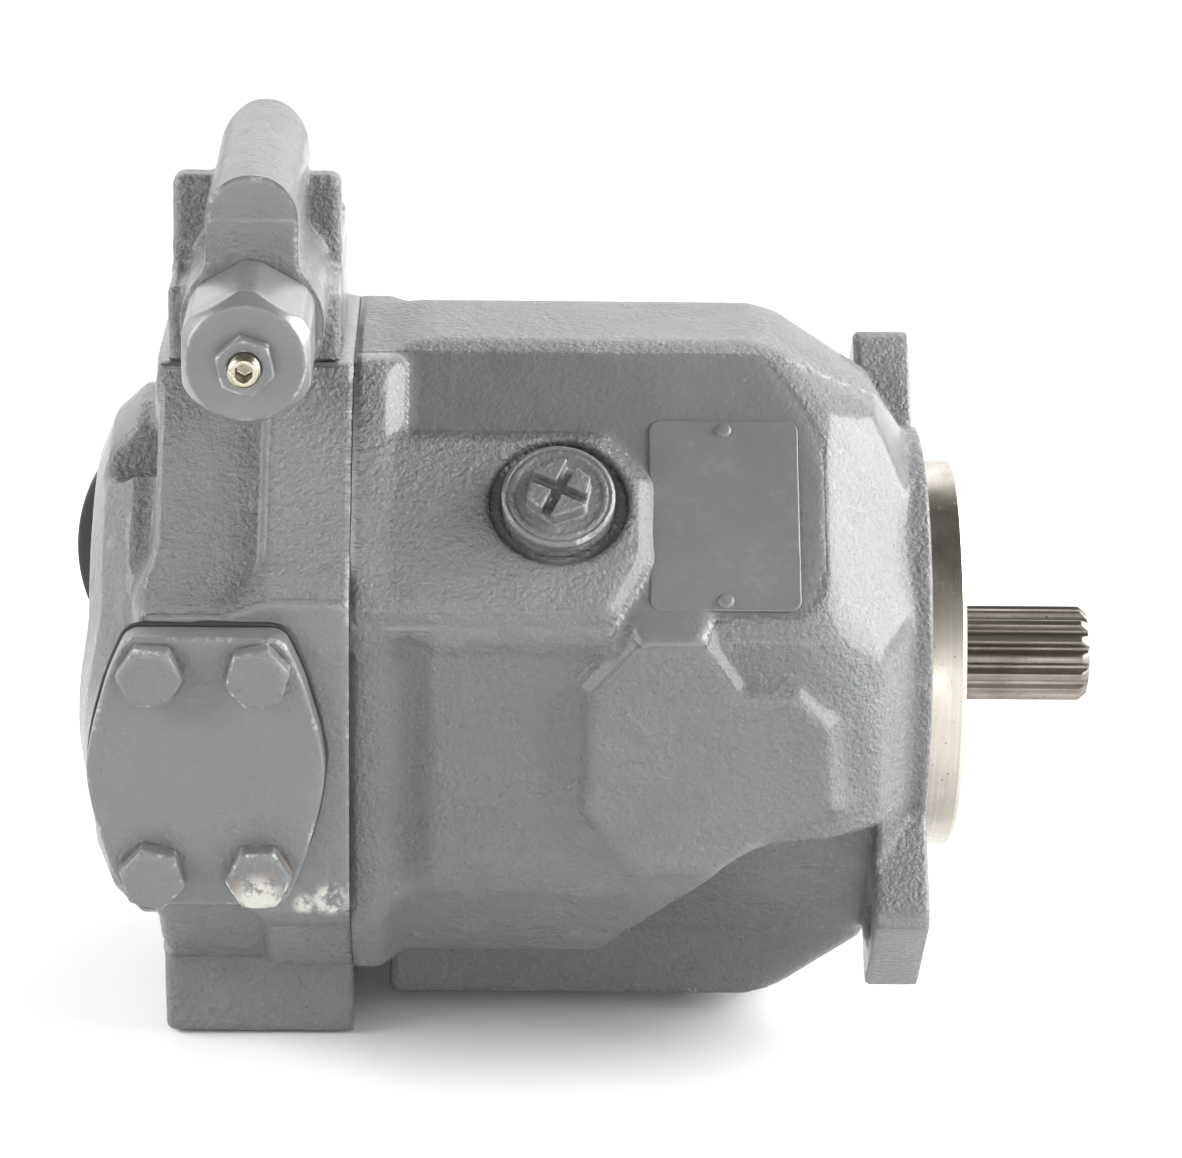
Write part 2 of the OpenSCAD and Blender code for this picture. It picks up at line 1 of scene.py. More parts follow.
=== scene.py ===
"""The looks of the axial piston pump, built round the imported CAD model.

Castings and small parts are made as signed distance fields in millimetres and meshed from them, so that
cast edges are round, inside corners have fillets, and machined faces stay flat. X runs out along the shaft,
+Z is up to the controller, and -Y is the near side, with the covered pressure port.
"""
import json
import math

import bpy
import numpy as np
import openvdb
from mathutils import Matrix, Vector


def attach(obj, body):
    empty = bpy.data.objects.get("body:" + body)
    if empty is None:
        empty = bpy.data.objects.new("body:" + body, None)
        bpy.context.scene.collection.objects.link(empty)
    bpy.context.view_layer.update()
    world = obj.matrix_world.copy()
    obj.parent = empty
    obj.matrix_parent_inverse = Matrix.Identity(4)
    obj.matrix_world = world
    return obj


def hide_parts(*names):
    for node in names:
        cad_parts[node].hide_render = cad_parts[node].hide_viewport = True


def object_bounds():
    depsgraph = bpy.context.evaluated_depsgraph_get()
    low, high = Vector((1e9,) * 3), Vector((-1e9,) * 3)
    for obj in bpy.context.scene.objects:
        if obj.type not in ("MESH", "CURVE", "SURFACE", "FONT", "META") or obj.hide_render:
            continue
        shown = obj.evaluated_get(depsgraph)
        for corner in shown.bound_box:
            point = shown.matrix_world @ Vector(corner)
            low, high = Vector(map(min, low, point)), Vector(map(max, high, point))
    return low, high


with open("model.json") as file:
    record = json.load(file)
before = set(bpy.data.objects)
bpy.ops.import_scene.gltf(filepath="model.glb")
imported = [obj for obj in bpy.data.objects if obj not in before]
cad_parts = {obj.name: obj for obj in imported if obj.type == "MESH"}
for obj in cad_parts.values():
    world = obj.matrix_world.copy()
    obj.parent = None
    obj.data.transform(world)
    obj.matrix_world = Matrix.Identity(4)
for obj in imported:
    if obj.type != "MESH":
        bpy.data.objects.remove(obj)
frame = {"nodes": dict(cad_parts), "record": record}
cad_low, cad_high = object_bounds()

ROOT2 = math.sqrt(2)
MM = 0.001
SEED = 7


# ---- signed distance helpers ----------------------------------------------
class Block:
    """Grid coordinates in mm over a box, with a margin of three cells all round."""

    def __init__(self, low, high, step):
        self.step = step
        self.low = [v - 3 * step for v in low]
        spans = [np.arange(a - 3 * step, b + 3.5 * step, step, dtype=np.float32) for a, b in zip(low, high)]
        self.x, self.y, self.z = np.meshgrid(*spans, indexing="ij", sparse=True)
        self.shape = tuple(len(s) for s in spans)


def union(a, b, r=0.0):
    """Joins two solids, with a fillet of radius r in the inside corner."""
    if r <= 0:
        return np.minimum(a, b)
    corner = np.hypot(np.maximum(r - a, 0), np.maximum(r - b, 0))
    return np.maximum(r, np.minimum(a, b)) - corner


def meet(a, b, r=0.0):
    """What two solids share, with edges rounded to radius r."""
    if r <= 0:
        return np.maximum(a, b)
    corner = np.hypot(np.maximum(r + a, 0), np.maximum(r + b, 0))
    return np.minimum(-r, np.maximum(a, b)) + corner


def cut(a, b, r=0.0):
    """Takes b out of a, with the rim rounded to radius r."""
    return meet(a, -b, r)


def slab(v, low, high):
    return np.maximum(low - v, v - high)


def cuboid(b, x, y, z, r=0.0):
    """Box between the given pairs of limits, with rounded edges."""
    return meet(meet(slab(b.x, *x), slab(b.y, *y), r), slab(b.z, *z), r)


def rod(u, v, along, radius, low, high, r=0.0):
    """Round bar whose section lies in u and v."""
    return meet(np.hypot(u, v) - radius, slab(along, low, high), r)


def polygon(u, v, points):
    """Exact signed distance to a closed outline in the plane of u and v."""
    best = None
    inside = None
    for (u0, v0), (u1, v1) in zip(points, points[1:] + points[:1]):
        eu, ev = u1 - u0, v1 - v0
        t = np.clip(((u - u0) * eu + (v - v0) * ev) / (eu * eu + ev * ev), 0, 1)
        gap = np.hypot(u - u0 - t * eu, v - v0 - t * ev)
        crosses = ((v0 <= v) & (v < v1)) | ((v1 <= v) & (v < v0))
        if ev == 0:
            left = crosses & False
        else:
            left = crosses & ((u - u0) * ev * np.sign(ev) < (v - v0) * eu * np.sign(ev))
        best = gap if best is None else np.minimum(best, gap)
        inside = left if inside is None else inside ^ left
    return np.where(inside, -best, best)


def round_outline(u, v, points, r):
    """Outline with its outward corners rounded to radius r."""
    middle = [sum(p[i] for p in points) / len(points) for i in (0, 1)]
    found = None
    for (u0, v0), (u1, v1) in zip(points, points[1:] + points[:1]):
        nu, nv = v1 - v0, u0 - u1
        size = math.hypot(nu, nv)
        if nu * (middle[0] - u0) + nv * (middle[1] - v0) > 0:
            size = -size
        side = ((u - u0) * nu + (v - v0) * nv) / size
        found = side if found is None else meet(found, side, r)
    return found


def corners(du, dv):
    """The four corners of a rectangle, du and dv away from its middle."""
    return [(s * du, t * dv) for s in (-1, 1) for t in (-1, 1)]


def slopes(b):
    """Distances from the shaft axis towards the near and the far upper corner of the square section."""
    return (b.z - b.y) / ROOT2, (b.y + b.z) / ROOT2


def sloped(b, shape, reach, r):
    """Bevels the four corners of a square section, reach mm from the shaft axis."""
    near_up, far_up = slopes(b)
    for slope in (near_up, far_up, -near_up, -far_up):
        shape = meet(shape, slope - reach, r)
    return shape


def hexagon(u, v, flats, turn=0.0, r=0.4):
    """Six-sided outline, flats apart, turned by an angle in degrees."""
    found = None
    for i in range(3):
        a = math.radians(turn + 60 * i)
        side = np.abs(u * math.cos(a) + v * math.sin(a)) - flats / 2
        found = side if found is None else meet(found, side, r)
    return found


def waves(block, spacing, height, seed):
    """Smooth random hills, spacing apart and height tall, over the whole grid."""
    rng = np.random.default_rng(seed)
    spans = []
    for n in block.shape:
        at = np.arange(n) * block.step / spacing
        count = int(at[-1]) + 3
        base = at.astype(int)
        t = at - base
        t = t * t * (3 - 2 * t)
        w = np.zeros((n, count), np.float32)
        w[np.arange(n), base] = 1 - t
        w[np.arange(n), base + 1] = t
        spans.append(w)
    hills = rng.normal(0, 0.5, [w.shape[1] for w in spans]).astype(np.float32)
    hills = np.tensordot(spans[0], hills, (1, 0))
    hills = np.einsum("ai,xiz->xaz", spans[1], hills, optimize=True)
    return height * np.einsum("bj,xyj->xyb", spans[2], hills, optimize=True)


def cast_grain(b, seed, broad=(9, 0.16), fine=(3.5, 0.06)):
    """Uneven surface of a sand casting: broad hills with finer ones on them, as (spacing, height)."""
    return waves(b, *broad, seed) + waves(b, *fine, seed + 1)


def sample(field, points):
    """Field values at points given in grid units, blended between cells."""
    base = np.clip(np.floor(points).astype(int), 0, np.array(field.shape) - 2)
    t = points - base
    total = np.zeros(len(points))
    for corner in range(8):
        step = np.array([corner & 1, corner >> 1 & 1, corner >> 2 & 1])
        share = np.prod(np.where(step, t, 1 - t), axis=1)
        i, j, k = (base + step).T
        total += share * field[i, j, k]
    return total


def bend(block, field, reach):
    """How strongly the surface curves near each cell: above 0 on edges, below 0 in corners.

    The result is smoothed over neighbouring cells, so that the grid doesn't show in the paint.
    """
    n = max(1, round(reach / block.step))
    total = -6 * field
    for axis in range(3):
        for way in (-n, n):
            total = total + np.roll(field, way, axis)
    for axis in range(3):
        total = (np.roll(total, 1, axis) + 2 * total + np.roll(total, -1, axis)) / 4
    return total / (n * block.step) ** 2


def solid(name, block, field, machined=None, place=None, merge=0.0, reach=1.6):
    """Meshes the field and stores how it curves and where it is cast.

    machined is a field whose surface carries no cast grain, and zeros stand for a piece machined all over.
    place moves the finished mesh, and merge joins flat neighbours into bigger faces.
    """
    field = np.broadcast_to(field, block.shape).astype(np.float32)
    limit = 4 * block.step
    grid = openvdb.FloatGrid(limit)
    grid.copyFromArray(np.clip(field, -limit, limit))
    points, triangles, quads = grid.convertToPolygons(isovalue=0.0, adaptivity=merge)
    faces = [tuple(f) for f in quads.tolist()] + [tuple(f) for f in triangles.tolist()]
    spots = np.asarray(points, float)
    edge = sample(bend(block, field, reach), spots)
    places = (spots * block.step + np.array(block.low)) * MM
    mesh = bpy.data.meshes.new(name)
    mesh.from_pydata(places.tolist(), [], faces)
    mesh.attributes.new("edge", "FLOAT", "POINT").data.foreach_set("value", edge.astype(np.float32))
    cast = np.ones(len(places), np.float32)
    if machined is not None:
        away = np.abs(sample(np.broadcast_to(machined, block.shape), spots))
        cast = np.clip((away - 0.55 * block.step) / 0.5, 0, 1).astype(np.float32)
    mesh.attributes.new("cast", "FLOAT", "POINT").data.foreach_set("value", cast)
    mesh.update()
    if volume(mesh) < 0:
        mesh.flip_normals()
    if place is not None:
        mesh.transform(place)
    mesh.shade_smooth()
    made = bpy.data.objects.new(name, mesh)
    bpy.context.scene.collection.objects.link(made)
    return made


def volume(mesh):
    """Six times the signed volume: below 0 where the faces look inwards."""
    mesh.calc_loop_triangles()
    corners = np.zeros(len(mesh.vertices) * 3)
    mesh.vertices.foreach_get("co", corners)
    corners = corners.reshape(-1, 3)
    index = np.zeros(len(mesh.loop_triangles) * 3, int)
    mesh.loop_triangles.foreach_get("vertices", index)
    a, b, c = (corners[index.reshape(-1, 3)[:, i]] for i in range(3))
    return float(np.einsum("ij,ij->i", a, np.cross(b, c)).sum())


def facing_near(x, y, z):
    """Puts a piece drawn along +Z at a place given in mm, pointing towards -Y."""
    return Matrix.Translation((x * MM, y * MM, z * MM)) @ Matrix.Rotation(math.radians(90), 4, "X")


def turned(name, profile, segments=256):
    """Ring turned about the shaft axis from a closed outline of (x, radius), in mm."""
    verts = []
    faces = []
    count = len(profile)
    for i in range(segments):
        a = 2 * math.pi * i / segments
        for x, r in profile:
            verts.append((x * MM, -r * math.sin(a) * MM, r * math.cos(a) * MM))
    for i in range(segments):
        j = (i + 1) % segments
        for k in range(count):
            m = (k + 1) % count
            faces.append((i * count + k, i * count + m, j * count + m, j * count + k))
    mesh = bpy.data.meshes.new(name)
    mesh.from_pydata(verts, [], faces)
    mesh.update()
    if volume(mesh) < 0:
        mesh.flip_normals()
    mesh.shade_smooth()
    mesh.set_sharp_from_angle(angle=math.radians(35))
    made = bpy.data.objects.new(name, mesh)
    bpy.context.scene.collection.objects.link(made)
    return made


# ---- materials --------------------------------------------------------------
class Shader:
    """A material being built, with short calls for the nodes it uses."""

    def __init__(self, name):
        self.material = bpy.data.materials.new(name)
        self.material.use_nodes = True
        self.tree = self.material.node_tree
        self.tree.nodes.clear()
        self.surface = self.node("ShaderNodeBsdfPrincipled")
        out = self.tree.nodes.new("ShaderNodeOutputMaterial")
        self.tree.links.new(self.surface.outputs[0], out.inputs[0])
        self.spot = self.node("ShaderNodeTexCoord").outputs["Object"]

    def node(self, kind, settings=None, **inputs):
        made = self.tree.nodes.new(kind)
        for key, value in (settings or {}).items():
            setattr(made, key, value)
        for key, value in inputs.items():
            self.feed(made.inputs[key.replace("_", " ")], value)
        return made

    def feed(self, socket, value):
        if isinstance(value, bpy.types.NodeSocket):
            self.tree.links.new(value, socket)
        else:
            socket.default_value = value

    def stretch(self, scale):
        """Coordinates squeezed by a scale along each axis, for grain with a direction."""
        made = self.node("ShaderNodeMapping", Vector=self.spot)
        made.inputs["Scale"].default_value = scale
        return made.outputs[0]

    def noise(self, scale, detail=3.0, rough=0.55, distort=0.0, where=None):
        made = self.node(
            "ShaderNodeTexNoise",
            Vector=where or self.spot,
            Scale=scale,
            Detail=detail,
            Roughness=rough,
            Distortion=distort,
        )
        return made.outputs[0]

    def cells(self, scale, smooth):
        made = self.node("ShaderNodeTexVoronoi", {"feature": "SMOOTH_F1"}, Vector=self.spot, Scale=scale)
        made.inputs["Smoothness"].default_value = smooth
        return made.outputs[0]

    def attribute(self, name):
        return self.node("ShaderNodeAttribute", {"attribute_name": name}).outputs["Fac"]

    def math(self, kind, a, b=0.0, clamp=False):
        made = self.node("ShaderNodeMath", {"operation": kind, "use_clamp": clamp})
        self.feed(made.inputs[0], a)
        self.feed(made.inputs[1], b)
        return made.outputs[0]

    def ramp(self, value, low, high, to_low=0.0, to_high=1.0):
        """Value between low and high, made to run smoothly from to_low to to_high."""
        made = self.node("ShaderNodeMapRange", {"interpolation_type": "SMOOTHSTEP"}, Value=value)
        for key, number in (("From Min", low), ("From Max", high), ("To Min", to_low), ("To Max", to_high)):
            made.inputs[key].default_value = number
        return made.outputs[0]

    def near(self, point, inner, outer):
        """1 within inner mm of a point given in mm, fading to 0 at outer mm."""
        made = self.node("ShaderNodeVectorMath", {"operation": "DISTANCE"})
        self.feed(made.inputs[0], self.spot)
        self.feed(made.inputs[1], [v * MM for v in point])
        return self.ramp(made.outputs["Value"], inner * MM, outer * MM, 1, 0)

    def mix(self, share, a, b):
        made = self.node("ShaderNodeMix", {"data_type": "RGBA"})
        self.feed(made.inputs["Factor"], share)
        self.feed(made.inputs["A"], a)
        self.feed(made.inputs["B"], b)
        return made.outputs["Result"]

    def bump(self, height, distance, strength=1.0, onto=None):
        made = self.node("ShaderNodeBump", Height=height, Distance=distance, Strength=strength)
        if onto is not None:
            self.tree.links.new(onto, made.inputs["Normal"])
        return made.outputs[0]

    def set(self, **inputs):
        for key, value in inputs.items():
            self.feed(self.surface.inputs[key.replace("_", " ")], value)
        return self.material


def grey(value, warm=0.0):
    return (value * (1 + warm), value, value * (1 - warm), 1.0)


DIRT = (0.075, 0.068, 0.055, 1)
OIL_STAIN = (0.26, 0.2, 0.125, 1)
# Colour of chipped paint, also used for the painted highlights along the edges.
BARE_IRON_AND_GLINT = (0.46, 0.46, 0.43, 1)
RUST = (0.28, 0.17, 0.09, 1)
PIT = (0.03, 0.025, 0.02, 1)
CHIP_DEPTH = 0.00012
TOOL_MARKS = 0.00005


def chips_and_edge_glints(s, edge, chips_and_glints, worn_at):
    """Light bare-iron marks: along the edges, where they are partly worn paint and partly painted
    highlights, in stray specks of worn paint, and where paint is gone near the given points.
    """
    speck = s.noise(520, 5, 0.75)
    # Specks along convex edges: partly worn paint, partly painted highlights standing in for the glints on
    # the edges.
    edge_wear_and_glint = s.math("MULTIPLY", s.ramp(edge, 0.35, 1.1), s.ramp(s.noise(95, 5, 0.75), 0.5, 0.62))
    edge_wear_and_glint = s.math("MULTIPLY", edge_wear_and_glint, s.ramp(speck, 0.42, 0.55))
    stray = s.math("MULTIPLY", s.ramp(s.noise(330, 3, 0.7), 0.7, 0.74), s.ramp(s.noise(33, 3), 0.52, 0.62))
    chip_and_glint = s.math("MULTIPLY", s.math("MAXIMUM", edge_wear_and_glint, s.math("MULTIPLY", stray, 0.7)), chips_and_glints, clamp=True)
    for point, inner, outer in worn_at:
        flaked = s.math("MULTIPLY", s.near(point, inner, outer), s.ramp(s.noise(240, 4, 0.7), 0.4, 0.55))
        chip_and_glint = s.math("MAXIMUM", chip_and_glint, flaked)
    return chip_and_glint


def cast_relief(s):
    """Height of the paint's peel, pits and swells: full on cast faces and faint on machined ones."""
    peel = s.cells(620, 0.8)
    pits = s.noise(1150, 4, 0.62, 0.2)
    swell = s.noise(210, 3, 0.55)
    height = s.math("ADD", s.math("MULTIPLY", peel, 0.45), s.math("MULTIPLY", pits, 0.8))
    height = s.math("ADD", height, s.math("MULTIPLY", swell, 0.35))
    depth = s.math("ADD", s.math("MULTIPLY", s.attribute("cast"), 0.8), 0.2)
    return s.math("MULTIPLY", height, depth)


def painted_iron(name, grain, base=0.125, chips_and_glints=1.0, stains=1.0, gloss=0.3, worn_at=(), rust_at=()):
    """Grey gloss paint over cast or machined iron. grain is the depth of the cast grain in metres.

    worn_at and rust_at list (point, inner, outer) in mm: where the paint has flaked off, and where rust
    shows.
    """
    s = Shader(name)
    edge = s.attribute("edge")
    broad = s.noise(14, 4, 0.6)
    fine = s.noise(120, 4, 0.65)
    colour = s.mix(s.ramp(broad, 0.3, 0.7), grey(base * 0.93, -0.03), grey(base * 1.08, -0.015))
    colour = s.mix(s.ramp(fine, 0.35, 0.75, 0, 0.25), colour, grey(base * 1.3, -0.02))
    hollow = s.ramp(edge, -0.9, -0.15, 1, 0)
    dirt = s.math("MULTIPLY", hollow, s.ramp(s.noise(60, 5), 0.35, 0.6))
    colour = s.mix(s.math("MULTIPLY", dirt, 0.35), colour, DIRT)
    patch = s.math("MULTIPLY", s.ramp(s.noise(26, 5, 0.7), 0.66, 0.78), s.ramp(s.noise(9, 2), 0.5, 0.65))
    colour = s.mix(s.math("MULTIPLY", patch, 0.55 * stains), colour, OIL_STAIN)
    chip_and_glint = chips_and_edge_glints(s, edge, chips_and_glints, worn_at)
    # Light bare iron where the paint is chipped; along the edges this is partly a painted highlight.
    colour = s.mix(chip_and_glint, colour, BARE_IRON_AND_GLINT)
    for point, inner, outer in rust_at:
        rust = s.math("MULTIPLY", s.near(point, inner, outer), s.ramp(s.noise(150, 4, 0.7), 0.42, 0.62))
        colour = s.mix(s.math("MULTIPLY", rust, 0.6), colour, RUST)
    rough = s.ramp(s.noise(45, 4), 0.3, 0.7, gloss - 0.05, gloss + 0.08)
    rough = s.math("ADD", rough, s.math("MULTIPLY", chip_and_glint, 0.3))
    normal = s.bump(cast_relief(s), grain)
    normal = s.bump(s.math("MULTIPLY", chip_and_glint, -1.0), CHIP_DEPTH, 0.6, normal)
    s.set(Base_Color=colour, Roughness=rough, Normal=normal, Specular_IOR_Level=0.5)
    return s.set(Coat_Weight=0.25, Coat_Roughness=0.12)


def bare_steel(name, base, rough, streak=(900, 60, 60), stain=0.3):
    """Machined steel with fine tool marks, darker stains and small pits."""
    s = Shader(name)
    lines = s.noise(1.0, 3, 0.6, 0.0, s.stretch(streak))
    blotch = s.noise(55, 5, 0.65)
    pit = s.ramp(s.noise(620, 3, 0.7), 0.66, 0.72)
    dark = tuple(c * 0.45 for c in base[:3]) + (1.0,)
    colour = s.mix(s.ramp(blotch, 0.4, 0.7, 0, stain), base, dark)
    colour = s.mix(s.ramp(lines, 0.3, 0.7, 0, 0.25), colour, dark)
    colour = s.mix(s.math("MULTIPLY", pit, 0.8), colour, PIT)
    roughness = s.ramp(blotch, 0.3, 0.7, rough - 0.06, rough + 0.1)
    roughness = s.math("ADD", roughness, s.math("MULTIPLY", pit, 0.3))
    height = s.math("ADD", s.math("MULTIPLY", lines, 0.5), s.math("MULTIPLY", pit, -1.0))
    normal = s.bump(height, TOOL_MARKS, 0.8)
    return s.set(Base_Color=colour, Metallic=1.0, Roughness=roughness, Normal=normal)


def moulded(name, base, rough, grain):
    """Black rubber or plastic with a fine moulded grain and dusty patches."""
    s = Shader(name)
    dust = s.ramp(s.noise(40, 5, 0.7), 0.45, 0.75, 0, 0.35)
    colour = s.mix(dust, grey(base), grey(base * 3.2, 0.05))
    height = s.math("ADD", s.noise(900, 3, 0.6), s.noise(180, 3, 0.5))
    roughness = s.ramp(s.noise(70, 4), 0.3, 0.7, rough - 0.08, rough + 0.12)
    return s.set(Base_Color=colour, Roughness=roughness, Normal=s.bump(height, grain, 0.8))


# Worn and rusty spots in mm: point, and the radii where the effect is full and where it ends.
PORT_CHIPS = (((-152, -84, -38), 2, 6), ((-158, -84, -39), 1, 4))
BOLT_WEAR = (((-168.9, -101, -31), 3, 8),)
BOLT_RUST = (((-170, -101, -25), 2, 7), ((-162, -95, -24), 1, 5))
CAST_PAINT = painted_iron("cast_paint", 0.0014, base=0.122, chips_and_glints=0.5, gloss=0.26, worn_at=PORT_CHIPS)
SMOOTH_PAINT = painted_iron("smooth_paint", 0.0006, base=0.125, chips_and_glints=0.6, stains=0.4, gloss=0.32)
BOLT_PAINT = painted_iron("bolt_paint", 0.0008, base=0.125, chips_and_glints=0.9, stains=0.8, gloss=0.32,
                          worn_at=BOLT_WEAR, rust_at=BOLT_RUST)
PLATE_PAINT = painted_iron("plate_paint", 0.00012, base=0.115, chips_and_glints=0.05, stains=0.05, gloss=0.45)
ZINC = bare_steel("zinc_pilot", (0.5, 0.47, 0.41, 1), 0.32, (1500, 30, 30), 0.35)
SHAFT_STEEL = bare_steel("shaft_steel", (0.24, 0.215, 0.19, 1), 0.36, (60, 700, 700), 0.6)
SCREW_STEEL = bare_steel("screw_steel", (0.42, 0.39, 0.31, 1), 0.3, (700, 700, 700), 0.5)
PLAIN_STEEL = bare_steel("plain_steel", (0.5, 0.49, 0.47, 1), 0.3, (400, 400, 400), 0.3)
BRONZE = bare_steel("bronze", (0.6, 0.42, 0.22, 1), 0.35, (400, 400, 400), 0.3)
RUBBER = moulded("rubber", 0.012, 0.5, 0.00006)
PLASTIC = moulded("black_plastic", 0.016, 0.42, 0.00008)


# ---- castings ---------------------------------------------------------------
CASE_BACK = -147.0
CASE_TOP = 90.5
CASE_SIDE = 80.0
CASE_SLOPE = 81.0
CASE_BOTTOM = -87.0
STRIP_END = -138.0
STRIP_SLOPE = 87.0
SEAT_Z = 88.0
REAR_BLOCK = -196.0
PLATE_BOTTOM = -91.0
PORT_X = -182.0
PORT_FACE = 84.0
CONTROL_X = -171.3
SPOOL_Z = 104.5
RIDGE_Z = 130.6
DRAIN_X = -95.5
DRAIN_FACE = 85.0
PLATE_X = -53.9
PLATE_S = -1.8
BOLT_DX = 13.1
BOLT_DZ = 26.2
HOUSING_BOLTS = [(-30, 64), (30, 64), (-46, -57), (46, -57)]
FOOT_STEP = -69.0
CASE_FLAT = -66.5
FOOT_HALF = 28.0
STRIP_SIDE = 80.5
MOUNT_REACH = 73.0
PIN_REACH = 24.0
CONTROL_DX = 15.2
CONTROL_DY = 24.0
CONTROL_END = -60.0
NUT_SEAT = -94.0
PASSAGE_DX = 7.0
CAP_DX = 17.85
CAP_DZ = 34.95
COVER_TALL = 9.5
COVER_HOLE = 5.3
HEAD_TALL = 6.4
# Outlines in mm. Those of turned shapes are (x, radius); bores and steps are (radius, low x, high x).
SIDE_PAD = [(-87, -14), (-87, 17), (-74.5, 31), (-61, 31.5), (-50.5, 16.5), (-36.6, 16.5),
            (-28.5, 8), (-27, -12), (-44, -19), (-57.5, -29.4), (-76, -29.4)]
DRAIN_PAD = [(-146, -30), (-84, -30), (-76, -14), (-76, 6), (-86, 17), (-146, 17)]
NECK = [(-150, 0), (-150, 118), (-62, 118), (-42, 93), (-28, 84), (-14, 75), (-6, 62), (-6, 0)]
UNDERCUT = [(-84, -66.5), (-76, -57), (-64, -42), (-53, -30), (-47, -26), (-40, -23.5), (-14, -22),
            (-14, -95), (-84, -95)]
PISTON_ROOM = [(-68, -15), (68, -15), (68, 28), (50, 46), (-50, 46), (-68, 28)]
SHAFT_BORES = ((31, -27, -9.5), (23.5, -10.5, -1), (26, -3, 5), (25.2, -4.6, -3), (53.4, -148, -145.4))
PILOT = [(0, 26), (0, 50.2), (0.35, 50.2), (0.7, 50.8), (8.4, 50.8), (9.3, 49.95), (9.5, 49.6),
         (9.5, 26.8), (8.8, 26)]
REAR_DOME = [(-212.5, -5), (-212.5, 53), (-208.6, 62.5), (-202, 68.5), (-190, 68.5), (-160, 68.5),
             (-160, -5)]
SHAFT_STEPS = ((14, -8, 4), (15, -24.5, -8), (13, -146, -24.5), (11, -162, -146))


def raised_pad(outline, height, top, r=1.2):
    """Pad with sloping flanks, 8 mm deep. outline is its top edge, height the distance along its axis."""
    flank = (outline + height - top) / ROOT2
    return meet(meet(flank, height - top, r), top - 8 - height)


def lug_plate(b):
    """Two-bolt flange plate, with its lugs turned 45 degrees."""
    lug = np.abs(b.y + b.z) / ROOT2
    side = np.abs(b.z - b.y) / ROOT2
    disc = np.hypot(b.y, b.z) - 60
    lug_end, lug_half, corner = 87.3, 21.4, 6
    tip = (lug_end - corner, lug_half - corner)
    tangent = math.atan2(tip[1], tip[0]) + math.acos((60 - corner) / math.hypot(*tip))
    flank = lug * math.cos(tangent) + side * math.sin(tangent) - (60 - corner)
    ear = meet(meet(lug - tip[0], side - tip[1]), flank) - corner
    reach = lug * math.sin(tangent) - side * math.cos(tangent)
    ear = meet(ear, -reach)
    return meet(union(disc, ear), slab(b.x, -15, 0), 1.0)


def housing_case(b):
    """Square case with bevelled corners, and the foot under it."""
    case = sloped(b, meet(b.z - CASE_TOP, np.abs(b.y) - CASE_SIDE), CASE_SLOPE, 5)
    case = meet(case, CASE_FLAT - b.z, 2.5)
    fall = 0.42
    case = meet(case, (b.z - SEAT_Z - (b.x - STRIP_END) * fall) / math.hypot(1, fall), 2)
    foot = meet(np.abs(b.y) - FOOT_HALF, CASE_BOTTOM - b.z, 2)
    foot = meet(foot, b.z)
    foot = meet(foot, STRIP_END - b.x, 2)
    return union(case, foot, 3)


def housing_pads(b, shape):
    """Adds the raised pads on the sides and on the two slopes with the drain plugs."""
    near_up, far_up = slopes(b)
    for s in (-1, 1):
        height = -s * b.y
        pad = raised_pad(polygon(b.x, b.z, SIDE_PAD), height, PORT_FACE, 0.7)
        pad = meet(pad, (b.z + height) / ROOT2 - CASE_SLOPE - 0.8, 0.5)
        shape = union(shape, pad, 0.7)
        drain = polygon(b.x, s * far_up, DRAIN_PAD)
        shape = union(shape, raised_pad(drain, s * near_up, DRAIN_FACE), 2)
    return shape


def housing_strip(b, case):
    """Thick rear edge of the housing, whose front flank slants where it stands out of the case."""
    strip = sloped(b, meet(b.z - SEAT_Z, np.abs(b.y) - STRIP_SIDE, 2), STRIP_SLOPE, 3)
    strip = meet(strip, FOOT_STEP - b.z, 2)
    flank = (b.x - STRIP_END - 4.5 + case) / ROOT2
    return meet(meet(strip, flank, 1.0), CASE_BACK - 9 - b.x)


def open_holes(b, shape):
    """Cuts the flange holes, the drain plugs' seats, the control pistons' bores and the bolt holes."""
    near_up, far_up = slopes(b)
    for s in (-1, 1):
        bore = np.hypot(b.y - s * MOUNT_REACH / ROOT2, b.z - s * MOUNT_REACH / ROOT2)
        shape = cut(shape, bore - 7.15, 0.6)
        shape = cut(shape, meet(bore - 10, slab(b.x, -32, -14)), 0.8)
        spot = np.hypot(b.x - DRAIN_X, far_up)
        shape = cut(shape, meet(spot - 17.4, DRAIN_FACE - 3.5 - s * near_up), 0.9)
        seat = meet(meet(spot - 14, s * near_up - DRAIN_FACE + 1), 74 - s * near_up)
        shape = union(shape, seat, 1.0)
        shape = cut(shape, meet(spot - 10.5, 40 - s * near_up))
        shape = cut(shape, rod(b.y, b.z - s * 62, b.x, 9.03, -148, -76))
    for y, z in HOUSING_BOLTS:
        shape = cut(shape, rod(b.y - y, b.z - z, b.x, 5.1, -148, -122))
    return shape


def open_chamber(b, shape):
    """Cuts the room for the barrel and the swash plate, and the steps of the shaft's bore."""
    shape = cut(shape, rod(b.y, b.z, b.x, 50, -148, -78))
    shape = cut(shape, meet(polygon(b.y, b.z, PISTON_ROOM), slab(b.x, STRIP_END, -34)))
    shape = cut(shape, rod(b.y, b.z, b.x, 56, -78, -33))
    shape = cut(shape, cut(rod(b.y, b.z, b.x, 54, -34, -20), rod(b.y, b.z, b.x, 35, -40, -10)))
    shape = cut(shape, rod(b.y, b.z, b.x, 36, -34, -26))
    for s, back in ((1, -33), (-1, -19)):
        slot = meet(np.abs(b.y) - 13, slab(s * b.z, 40, 73))
        shape = cut(shape, meet(slot, slab(b.x, -78, back)))
    pocket = meet(np.hypot(b.x + 57, b.z) - 38, slab(np.abs(b.y), 33.5, 46.5))
    shape = cut(shape, pocket)
    for radius, low, high in SHAFT_BORES:
        shape = cut(shape, rod(b.y, b.z, b.x, radius, low, high))
    return shape


